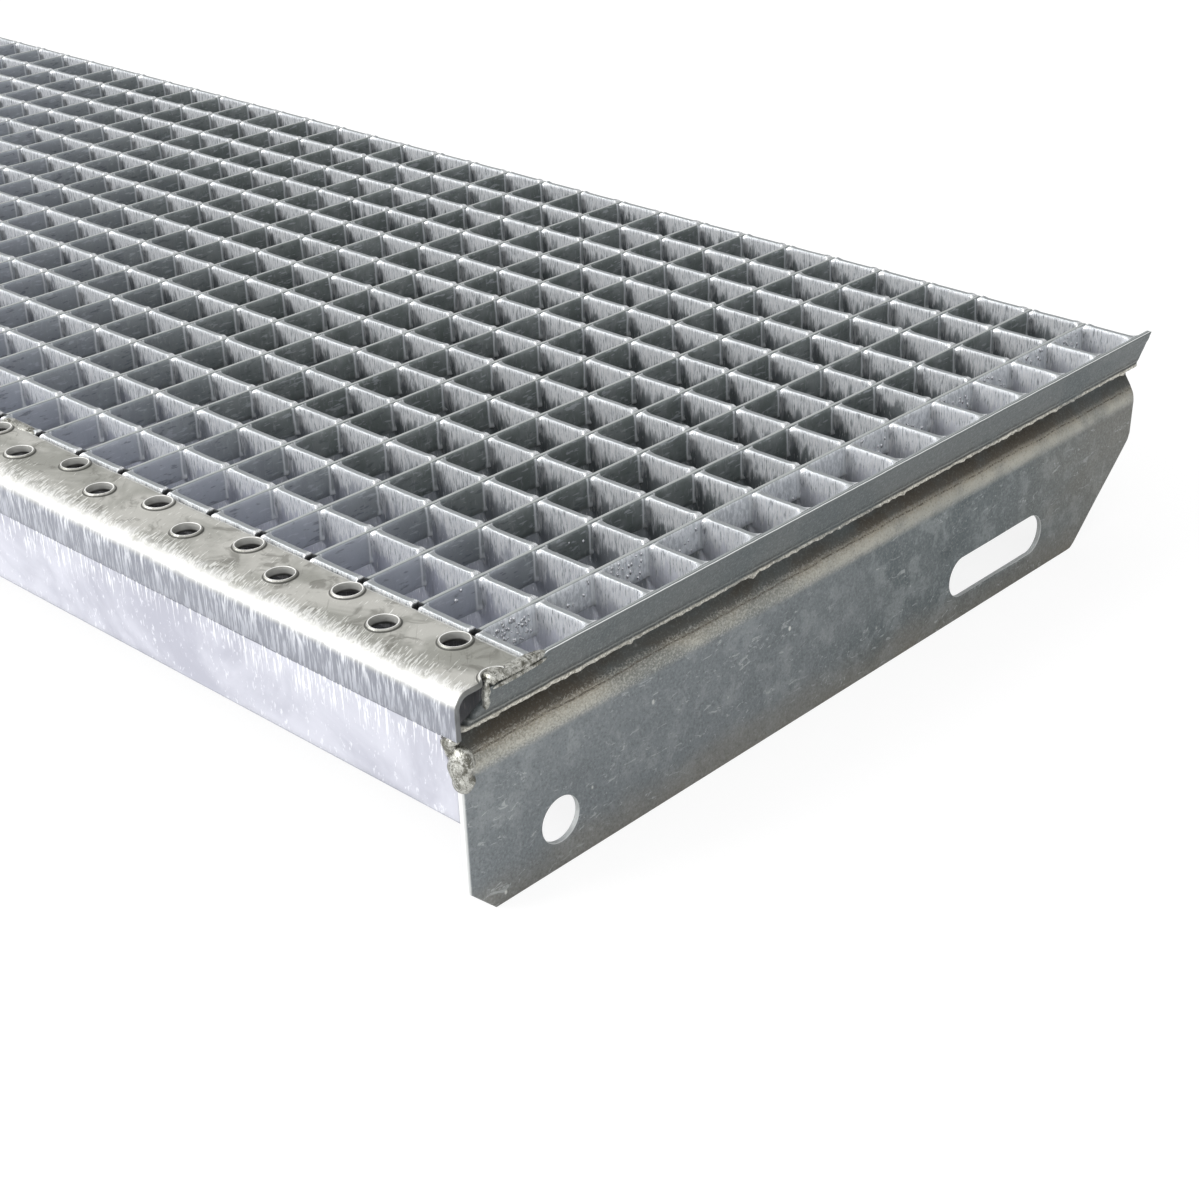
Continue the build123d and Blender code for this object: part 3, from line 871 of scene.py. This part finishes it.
# cross bars: thin strips whose faces swell into the corners of every cell
crossBars = {
    "columns": (1.02, 1.5, 2.3, 3.8),    # to both sides of a bearing bar
    "midColumns": 2.5,                   # and of the middle between two
    # rows from the bottom to the top, and the share of the half thickness at each
    "lowRows": (2, 4.2, 6.6),
    "topDrops": (1.4, 0.75, 0.35, 0.15, 0.1),
    "shares": (0.68, 1, 1, 1, 1, 0.98, 0.9, 0.72, 0.45, 0.12),
    "edgeRadius": 0.3,
    "filletWidth": 0.75,
    "filletLeast": 0.3,
    "filletSpread": 0.5,
    "footSize": 0.5,
}


def crossBar(number):
    # the same with X and Y exchanged: fillets and feet fade as e to the minus of the distance
    # from the bearing bar's face
    c = crossBars
    draw = np.random.default_rng(300 + number)
    middle = crossings[number]
    near, half = np.array(c["columns"]), pitch / 2
    offsets = np.concatenate([-near[::-1], near, [half - c["midColumns"], half + c["midColumns"]]])
    columns = (barPlaces[:, None] + offsets).ravel()
    start, end = crossLow[1], crossHigh[1]
    inner = columns[(columns > start + 0.1) & (columns < end - 0.1)]
    columns = np.concatenate([[start], inner, [end]])
    gap = columns[:, None] - barPlaces
    nearest = np.abs(gap).argmin(axis=1)
    dy = gap[np.arange(len(columns)), nearest][:, None]

    low, high = crossLow[2], crossHigh[2]
    lowRows = low + np.array([0, c["edgeRadius"], *c["lowRows"]])
    rows = np.concatenate([lowRows, high - np.array(c["topDrops"])])
    share = np.array(c["shares"])
    z = np.broadcast_to(rows, (len(columns), len(rows)))
    y = np.broadcast_to(columns[:, None], z.shape)
    faces = []
    for face in (-1, 1):
        size = draw.uniform(0, 1, (3, len(barPlaces)))
        away = np.clip(np.abs(dy) - barHalf, 0, None)
        fillet = c["filletLeast"] + c["filletSpread"] * size[0][nearest][:, None]
        fillet = fillet * np.exp(-away / c["filletWidth"])
        foot = c["footSize"] * size[1][nearest][:, None]
        foot = foot * np.exp(-away / 1.3) * swell(z - low - 0.6, 1.3)
        seed = 2000 + number * 5 + face
        rough = 0.06 * waves(seed, 4, y, z) + 0.05 * waves(seed + 2, 1.8, y, z)
        bulge = (fillet + foot) * ease(high - z, -0.3, 0.8) + rough
        x = middle + face * (crossHalf * share + bulge * (share > 0.6))
        faces.append(np.stack([x, y, z + 0.04 * waves(number + 80, 7, y) * (z > high - 1)], axis=-1))
    rings = tube(faces)
    makePiece(f"crossBar{number + 1:02d}", rings, loft(rings), "galvanised_cross_bar",
              [crossNames[number]], 50)


for number in range(len(crossNames)):
    crossBar(number)
print("cross bars made")


# the two ends: sign of X, and the word in the names
sides = ((1, "right"), (-1, "left"))


# end plates: one rolled strip each, from the flat on the floor up to the lip
plates = {
    "sheet": 2.0,
    "flatFace": 396.5,
    "shoulderHeight": 46.5,
    "grooveFace": 391.5,
    "grooveHeight": 53.5,
    "ridgeFace": 395.5,
    "ridgeHeight": 57.0,
    "lipFace": 400.0,
    "bends": (8.0, 1.0, 4.0),
    "lipLowered": 67.8,           # under the nosing the lip is lower
    "lipFoot": 59.0,
    "lipStep": (-133.5, -131.5),  # where the lip drops
    "frontEdge": ((0, -151.0), (9, -160.0), (54, -160.0), (63, -150.5), (70, -150.5)),
    "rearEdge": ((0, 121.7), (0.4, 123.85), (1.54, 125.7), (30, 157.4), (32, 158.6), (70, 162.0)),
    "holeRadius": 7.0,
    "holeY": -126.0,
    "slotY": 78.0,
    "slotCore": 19.5,             # half the length between the slot's round ends
    "holeHeight": 15.0,
    "blockMargin": 3.5,
    "frontLine": -138.0,          # grid lines between these two stand upright
    "rearLine": 108.0,
    "bead": 0.6,
    "beadLumps": 0.5,
    "beadWidth": 0.75,
    "rounding": 0.14,
}


def plateY(y, z):
    # a grid line's Y at a height: lines near the ends lean with the plate's front and rear edge
    p = plates
    front, frontLine = p["frontEdge"][1][1], p["frontLine"]
    rear, rearLine = p["rearEdge"][-1][1], p["rearLine"]
    frontEnd, rearEnd = [np.interp(z, *np.array(p[key]).T) for key in ("frontEdge", "rearEdge")]
    forward = np.clip((y - frontLine) / (front - frontLine), 0, None)
    backward = np.clip((y - rearLine) / (rear - rearLine), 0, None)
    return y + forward * (frontEnd - front) + backward * (rearEnd - rear)


def endPlate(side, word):
    # the section's path carried along Y. The outer face stands off the path by a skin: a round
    # bump along the ridge, which makes the bead, and waves. The path is squeezed above the lip's
    # foot where the lip is lowered
    p = plates
    path = roundedPath([(p["flatFace"], 0), (p["flatFace"], p["shoulderHeight"]),
                        (p["grooveFace"], p["grooveHeight"]), (p["ridgeFace"], p["ridgeHeight"]),
                        (p["lipFace"], plateTop)], p["bends"])
    length = path[0][-1]
    footAlong, loweredAlong, ridgeAlong = np.interp(
        (p["lipFoot"], p["lipLowered"], p["ridgeHeight"]), path[1][:, 1], path[0])
    front, rear = p["frontEdge"][1][1], p["rearEdge"][-1][1]
    margin = p["holeRadius"] + p["blockMargin"]
    slotReach = p["slotCore"] + margin
    columns = stretches([front, front + 0.4, p["frontLine"], p["holeY"] - margin, p["holeY"] + margin,
                         p["slotY"] - slotReach, p["rearLine"], rear - 0.4, rear],
                        [1, 14, 2, 14, 130, 46, 34, 1])
    low, high = p["holeHeight"] - margin, p["holeHeight"] + margin
    distances = stretches([0, 0.4, 1.8, low, high, 42, ridgeAlong - 2, ridgeAlong + 2,
                           length - 0.35, length], [1, 2, 2, 14, 7, 16, 12, 12, 1])

    def outline(middle, core):
        # the nearest point of the slot's straight core, and from there its radius outwards
        def project(edge):
            dy, dz = edge[:, 0] - middle, edge[:, 1] - p["holeHeight"]
            onCore = np.clip(dy, -core, core)
            aside = dy - onCore
            away = np.hypot(aside, dz) / p["holeRadius"]
            return np.stack([middle + onCore + aside / away, p["holeHeight"] + dz / away], axis=-1)
        return project

    holes = []
    for middle, core in ((p["holeY"], 0.0), (p["slotY"], p["slotCore"])):
        block = middle - core - margin, middle + core + margin, low, high
        holes.append((block, outline(middle, core), (2.0, 0.9, 0.35, 0.0)))
    places, faces = perforated(columns, distances, holes)

    line, along = places.T
    full = ease(line, *p["lipStep"])
    lowering = (loweredAlong - footAlong) / (length - footAlong)
    above = np.clip(along - footAlong, 0, None)
    settled = along - above + above * (lowering + (1 - lowering) * full)
    (x, z), normal = onPath(path, settled)
    y = plateY(line, z)
    seed = 500 if side > 0 else 540
    ridge = swell(settled - ridgeAlong, p["beadWidth"])
    lumps = np.clip(waves(seed, 7, y), 0, None) ** 2 + 0.6 * np.clip(waves(seed + 1, 3, y), 0, None)
    skin = (p["bead"] + p["beadLumps"] * lumps) * ridge
    skin = skin + 0.12 * waves(seed + 2, 45, y, z) * ease(z, 2, 8) * ease(rear - y, 0, 6)
    skin = skin + 0.10 * waves(seed + 3, 4, y, settled) * ease(z, 40, 46)
    outer = np.stack([x - normal[0] * skin, y, z - normal[1] * skin], axis=-1)
    inner = np.stack([x + normal[0] * p["sheet"], y, z + normal[1] * p["sheet"]], axis=-1)
    outer[:, 0] = np.minimum(outer[:, 0], p["lipFace"])
    # the strip is trimmed level at the lip, so both faces end at the same height
    atTop = along > length - 0.01
    inner[atTop, 0] += (outer[atTop, 2] - inner[atTop, 2]) * -normal[1][atTop] / normal[0][atTop]
    inner[atTop, 2] = outer[atTop, 2]
    for face in (outer, inner):
        face[:, 0] *= side
        face[:, 2] = np.clip(face[:, 2], 0, plateTop)
    points, faces = shell(outer, inner, faces, p["rounding"])
    makePiece(f"endPlate{word.title()}", points, faces, "galvanised_plate", [f"end_plate_{word}"], 40)


for side, word in sides:
    endPlate(side, word)
print("end plates made")


def makeNosing():
    # the fold's path carried along X. The outer face stands off the path by the height of the
    # crater at the distance to the nearest hole's middle, and by waves
    n = nosing
    low, high = boxOf("nosing")
    path = roundedPath([(low[1], n["legBottom"]), (low[1], plateTop), (high[1], plateTop),
                        (high[1], n["flangeBottom"])], (n["noseBend"], n["rearBend"]))
    length = path[0][-1]
    leg = plateTop - n["noseBend"] - n["legBottom"]
    topStart = leg + n["noseBend"] * np.pi / 2
    topEnd = topStart + (high[1] - n["rearBend"]) - (low[1] + n["noseBend"])
    bendEnd = topEnd + n["rearBend"] * np.pi / 2

    def alongAt(y):
        return topStart + y - (low[1] + n["noseBend"])

    reach = n["blockReach"]
    half = high[0]
    rows = []
    for x0, y in (n["rearRow"], n["frontRow"]):
        count = int(2 * half / n["holePitch"]) + 1
        xs = x0 - n["holePitch"] * np.arange(count)
        rows += [(x, alongAt(y)) for x in xs if abs(x) < half + n["holeRadius"]]
    rows.sort()
    xBreaks, counts = [-half, -half + 0.4], [1]
    for x, _ in rows:
        xBreaks += [x - reach, min(x + reach, half)]
        counts += [4, 9 if x + reach < half else 4]
    if xBreaks[-1] < half:
        xBreaks += [half - 0.4, half]
        counts += [3, 1]
    rear, front = alongAt(n["rearRow"][1]), alongAt(n["frontRow"][1])
    sBreaks = [0, 0.4, leg, topStart, front - reach, rear - reach, front + reach, topEnd,
               rear + reach, bendEnd - 0.6, bendEnd, length - 0.4, length]
    across = stretches(xBreaks, counts)
    distances = stretches(sBreaks, [1, 5, 8, 2, 4, 5, 3, 2, 2, 1, 4, 1])
    radius = n["holeRadius"]

    def outline(x, s):
        # from the hole's middle its radius outwards, in the direction of each edge point. A
        # hole cut by the sheet's end keeps the arc on its near side
        def project(edge):
            angle = np.arctan2(edge[:, 1] - s, edge[:, 0] - x)
            if x + radius > half:
                angle = np.mod(angle, 2 * np.pi)
                cut = np.arccos((half - x) / radius)
                ends = sorted((angle[0], angle[-1]))
                angle = np.interp(angle, ends, (cut, 2 * np.pi - cut))
            return np.stack([x + radius * np.cos(angle), s + radius * np.sin(angle)], axis=-1)
        return project

    holes = [((x - reach, x + reach, s - reach, s + reach), outline(x, s), n["ringGaps"])
             for x, s in rows]

    def missing(x, s):
        return (np.abs(x) > n["flangeEnd"]) & (s > bendEnd - 0.6)

    places, faces = perforated(across, distances, holes, missing)
    x, along = places.T
    (y, z), normal = onPath(path, along)
    middle = np.array(rows)
    nearest = np.hypot(x[:, None] - middle[:, 0], along[:, None] - middle[:, 1]).min(axis=1)
    crater = np.interp(nearest, *np.array(n["crater"]).T)
    skin = crater + 0.10 * waves(700, 30, x, along) * (nearest > reach - 1)
    skin = skin + 0.05 * waves(701, 6, x, along)
    skin = skin * ease(along, 0, 1) * ease(length - along, 0, 1)
    outer = np.stack([x, y + normal[0] * skin, z + normal[1] * skin], axis=-1)
    inner = np.stack([x, y - normal[0] * n["sheet"], z - normal[1] * n["sheet"]], axis=-1)
    outer[:, 1] = np.maximum(outer[:, 1], low[1])
    outer[:, 2] = np.minimum(outer[:, 2], high[2])
    points, faces = shell(outer, inner, faces, n["rounding"])
    makePiece("nosingSheet", points, faces, "galvanised_nosing", ["nosing"], 40)


makeNosing()
print("nosing made")


# front bar: a flat strip behind the nosing's leg, coped round the rolled groove
frontBar = {
    "outline": ((30, 394.3), (42.5, 394.3), (51.5, 389.64), (64.5, 389.64)),    # height and X of the end
    "edge": 0.4,                         # width of the outermost rows of cells
    "rounding": 0.16,
    "waves": ((0.12, 60), (0.06, 7)),    # depth and length
}


def makeFrontBar():
    # a flat grid: X is a share of the outline's X at that height, and waves move the front in Y
    b = frontBar
    low, high = boxOf("front_bar")
    shares = stretches([-1, -0.999, 0.999, 1], [1, 160, 1])
    heights = stretches([low[2], low[2] + b["edge"], high[2] - b["edge"], high[2]], [1, 16, 1])
    places, faces = perforated(shares, heights, [])
    share, z = places.T
    x = share * np.interp(z, *np.array(b["outline"]).T)
    (broad, broadLength), (fine, fineLength) = b["waves"]
    rough = broad * waves(800, broadLength, x, z) + fine * waves(801, fineLength, x, z * 0.4)
    rough = rough * ease(z, low[2], low[2] + 3)
    outer = np.stack([x, low[1] - rough, z], axis=-1)
    inner = np.stack([x, np.full_like(x, high[1]), z], axis=-1)
    points, faces = shell(outer, inner, faces, b["rounding"])
    makePiece("frontBar", points, faces, "galvanised_bar", ["front_bar"], 40, frontBarFinish())


makeFrontBar()
print("front bar made")


# weld beads: a tube of uneven thickness with ripples along it
welds = {
    "segments": 20,
    "stations": 34,
    # beads at the right-hand end: start, end, width, height, number of ripples, seed
    "front": (((395.5, -159.0, 39.6), (395.7, -158.7, 53.4), 7.8, 5.6, 1, 900),
              ((393.3, -160.1, 49.5), (393.0, -159.8, 57.0), 5.0, 3.0, 1, 910)),
    "top": (((397.7, -151.0, 69.0), (398.2, -130.5, 69.6), 4.2, 2.6, 15, 920),
            ((399.4, -150.0, 67.4), (399.6, -131.0, 68.2), 1.1, 1.3, 11, 930),
            ((396.9, -150.4, 69.2), (396.9, -144.2, 69.4), 5.2, 3.4, 2, 940),
            ((397.6, -151.2, 61.4), (398.2, -151.0, 69.4), 2.2, 1.9, 2, 950)),
    "stitch": (4.2, 2.4, 13, 960),       # width, height, ripples, seed
    "stitchLength": 18,
    "stitchHeights": (69.3, 69.4),
}


def beadPoints(start, end, width, height, ripples, seed):
    # ellipse at each station: radius = share of the full one at that station, which falls to
    # nothing at both ends as a superellipse does, times one plus ripples and lumps
    start, end = np.array(start, float), np.array(end, float)
    along = (end - start) / np.linalg.norm(end - start)
    wide = np.cross(along, (0, 0, 1)) if abs(along[2]) < 0.9 else np.array([1.0, 0, 0])
    high = np.cross(wide, along)
    t = np.linspace(-1, 1, welds["stations"])[:, None]
    angle = np.linspace(0, 2 * np.pi, welds["segments"], endpoint=False)
    body = np.sqrt(np.clip(1 - np.abs(t) ** 3.2, 0.0004, None))
    middle = (start + end) / 2 + t[..., None] * (end - start) / 2
    lumps = 0.06 * waves(seed, 2.6, t * 6, 3 * np.cos(angle), 3 * np.sin(angle))
    lean = 0.35 * np.cos(angle)
    size = body * (1 + 0.07 * np.sin((t + 0.12 * lean) * ripples * np.pi) + lumps)
    spread = wide * (size * np.cos(angle) * width / 2)[..., None]
    rise = high * (size * np.sin(angle) * height / 2)[..., None]
    wobble = 0.12 * width * waves(seed + 9, 5, t * 5)[..., None] * wide
    return middle + spread + rise + wobble


def weldPiece(name, beads, nodes):
    points, faces, count = [], [], 0
    for rings in beads:
        points.append(rings.reshape(-1, 3))
        faces.append(loft(rings) + count)
        count += len(points[-1])
    points = np.clip(np.concatenate(points), np.array(treadLow) / mm, np.array(treadHigh) / mm)
    makePiece(name, points, np.concatenate(faces), "zinc_weld", nodes, 80)


for side, word in sides:
    for place in ("front", "top"):
        mirror = np.array([side, 1, 1])
        beads = [beadPoints(start * mirror, end * mirror, *sizes, seed + side)
                 for start, end, *sizes, seed in welds[place]]
        weldPiece(f"{place}Weld{word.title()}", beads, [f"{place}_weld_{word}"])
stitchLow, stitchHigh = boxOf("nosing_stitch_welds")
*stitchSizes, stitchSeed = welds["stitch"]
stitchLength, stitchY = welds["stitchLength"], barLow[1] - 0.1
startHeight, endHeight = welds["stitchHeights"]
stitches = [beadPoints((x, stitchY, startHeight), (x + stitchLength, stitchY, endHeight), *stitchSizes,
                       stitchSeed + int(x))
            for x in (stitchLow[0], stitchHigh[0] - stitchLength)]
weldPiece("nosingStitchWelds", stitches, ["nosing_stitch_welds"])
print("welds made")


# drops of zinc on the right-hand faces of the last two cross bars, beside the end plate
droplets = {
    # which cross bar from the right and which bearing bar from the front, both counted from 0,
    # and how many drops behind that bearing bar
    "onCrossBars": ((0, 0, 60), (0, 1, 6), (0, 2, 34), (0, 3, 6), (0, 5, 4), (0, 7, 14), (0, 8, 10),
                    (0, 9, 18), (0, 10, 24), (0, 11, 18), (0, 12, 24), (1, 0, 3), (1, 2, 3)),
    "radius": (0.24, 0.56),
    "behind": (4.0, 19.0),       # behind the bearing bar's middle
    "heights": (61.0, 68.8),
    "depth": 0.75,               # shares of the radius: off the face, and upwards
    "tall": (1.0, 1.7),
    "rings": 5,
    "segments": 8,
}


def makeDroplets():
    # each drop is a ball of rings: radius = root of 1 - t^2. It is taller than wide and half sunk in
    draw = np.random.default_rng(1200)
    t = np.linspace(-0.96, 0.96, droplets["rings"])[:, None]
    angle = np.linspace(0, 2 * np.pi, droplets["segments"], endpoint=False)
    girth = np.sqrt(1 - t ** 2)
    ball = np.stack([girth * np.cos(angle), girth * np.sin(angle), t + 0 * angle], axis=-1)
    points, faces, count = [], [], 0
    for column, row, amount in droplets["onCrossBars"]:
        for _ in range(amount):
            size = draw.uniform(*droplets["radius"])
            y = barPlaces[row] + draw.uniform(*droplets["behind"])
            z = draw.uniform(*droplets["heights"])
            x = crossings[-1 - column] + crossHalf
            stretch = np.array([droplets["depth"], 1.0, draw.uniform(*droplets["tall"])]) * size
            points.append((ball * stretch + (x, y, z)).reshape(-1, 3))
            faces.append(loft(ball) + count)
            count += len(points[-1])
    makePiece("zincDrops", np.concatenate(points), np.concatenate(faces), "zinc_weld", [], 80,
              dropFinish())


makeDroplets()
print("drops made")


# floor, light and camera
studio = {
    "floorSize": 8.0,
    "floorColour": (235, 235, 235),
    "floorShade": 0.2,
    "floorGlow": 0.84,
    # area lamps: place, width and power
    "keyLamp": ((-0.75, -1.9, 1.35), 1.3, 52.0),
    "fillLamp": ((1.8, -0.9, 1.3), 1.4, 8.0),
    "lampsAimAt": (0.15, 0, 0.03),
    "skyTowards": (-0.5, -0.8, 0.45),
    "skyRange": (0.5, 1.0),
}


def makeFloor():
    # white paper: the camera sees most of it as a glow, so that it is white but keeps a shadow
    half = studio["floorSize"] / 2
    corners = [(-half, -half, 0), (half, -half, 0), (half, half, 0), (-half, half, 0)]
    mesh = bpy.data.meshes.new("floor")
    mesh.from_pydata(corners, [], [(0, 1, 2, 3)])
    floor = bpy.data.objects.new("floor", mesh)
    bpy.context.scene.collection.objects.link(floor)
    paper = newFinish("floorPaper")
    plain = paper.node("BsdfDiffuse", None, {"Color": srgb(*studio["floorColour"])})
    faint = paper.node("BsdfDiffuse", None, {"Color": (*[studio["floorShade"]] * 3, 1)})
    glow = paper.node("Emission", None, {"Strength": studio["floorGlow"]})
    seen = paper.node("AddShader", None, {0: faint, 1: glow})
    ofCamera = paper.node("LightPath", output="Is Camera Ray")
    shown = paper.node("MixShader", None, {0: ofCamera, 1: plain, 2: seen})
    paper.node("OutputMaterial", None, {0: shown})
    mesh.materials.append(paper.owner)


def makeLamp(name):
    place, size, power = studio[name]
    light = bpy.data.lights.new(name, "AREA")
    light.size = size
    light.energy = power
    lamp = bpy.data.objects.new(name, light)
    aim = Vector(studio["lampsAimAt"]) - Vector(place)
    lamp.location = place
    lamp.rotation_euler = aim.to_track_quat("-Z", "Y").to_euler()
    bpy.context.scene.collection.objects.link(lamp)


def makeSky():
    # white for the camera. As a source of light it is brighter towards the front left
    sky = Finish(bpy.data.worlds.new("sky"))
    where = sky.node("TexCoord", output="Generated")
    side = Vector(studio["skyTowards"]).normalized()
    towards = sky.node("VectorMath", {"operation": "DOT_PRODUCT"}, {0: where, 1: side}, output="Value")
    glow = sky.line(towards, -1, 1, *studio["skyRange"])
    strength = sky.larger(sky.node("LightPath", output="Is Camera Ray"), glow)
    background = sky.node("Background", None, {"Color": (1, 1, 1, 1), "Strength": strength})
    sky.node("OutputWorld", None, {0: background})
    bpy.context.scene.world = sky.owner


# the camera stands as the photographer did: in front of the right-hand end, looking left
view = {
    "imageSide": 1200,
    "sensor": 36.0,
    "focalPixels": 2150.1,
    "centrePixel": (684.2, 542.9),
    "place": (0.7475, -0.4595, 0.3387),
    "right": (0.74397, 0.66800, -0.01689),
    "forward": (-0.60317, 0.66047, -0.44716),
    "clip": (0.05, 50),
}


def makeCamera():
    lens = bpy.data.cameras.new("camera")
    side = view["imageSide"]
    lens.sensor_width = view["sensor"]
    lens.lens = view["focalPixels"] / side * view["sensor"]
    lens.shift_x = 0.5 - view["centrePixel"][0] / side
    lens.shift_y = view["centrePixel"][1] / side - 0.5
    lens.clip_start, lens.clip_end = view["clip"]
    right = Vector(view["right"]).normalized()
    back = -Vector(view["forward"]).normalized()
    up = back.cross(right).normalized()
    camera = bpy.data.objects.new("camera", lens)
    turn = Matrix((right, up, back)).transposed().to_4x4()
    camera.matrix_world = Matrix.Translation(view["place"]) @ turn
    bpy.context.scene.collection.objects.link(camera)
    bpy.context.scene.camera = camera


makeFloor()
makeLamp("keyLamp")
makeLamp("fillLamp")
makeSky()
makeCamera()
bpy.context.scene.view_settings.view_transform = "Standard"
print("studio set")
